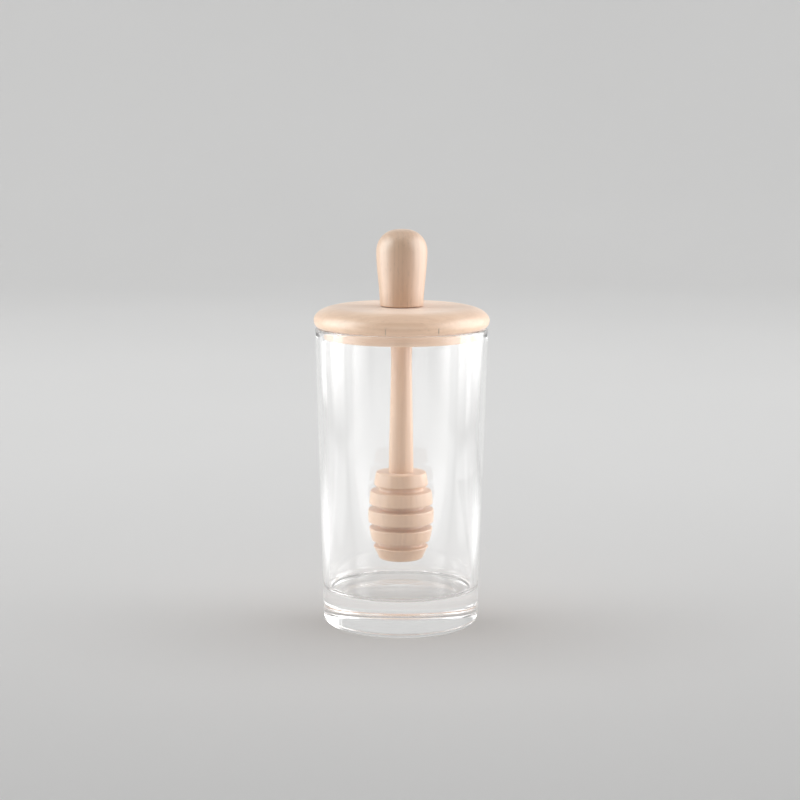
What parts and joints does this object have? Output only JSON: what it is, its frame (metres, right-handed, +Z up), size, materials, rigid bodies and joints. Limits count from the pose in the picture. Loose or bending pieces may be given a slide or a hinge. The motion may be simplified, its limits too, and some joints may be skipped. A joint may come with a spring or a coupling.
{
  "type": "glass honey jar with wooden lid and dipper",
  "caption": "Round clear glass jar, empty, with a turned wooden lid and knob, and a wooden honey dipper that hangs from the lid inside.",
  "frame": {"origin": "centre of the jar's base, on the surface it stands on", "axes": "+Z up along the jar's axis; the part is round about +Z, and the picture looks along +Y"},
  "size_m": [0.0792, 0.0792, 0.1798],
  "materials": {
    "clear_glass": "clear, smooth, fire-polished rim",
    "lid_wood": "bare turned beech, sanded, matt",
    "knob_wood": "bare turned beech, sanded, matt",
    "dipper_wood": "bare turned beech, sanded, matt"
  },
  "bodies": {
    "root": {"glass_jar": "clear_glass", "wood_lid": "lid_wood", "lid_knob": "knob_wood", "honey_dipper": "dipper_wood"}
  },
  "joints": []
}
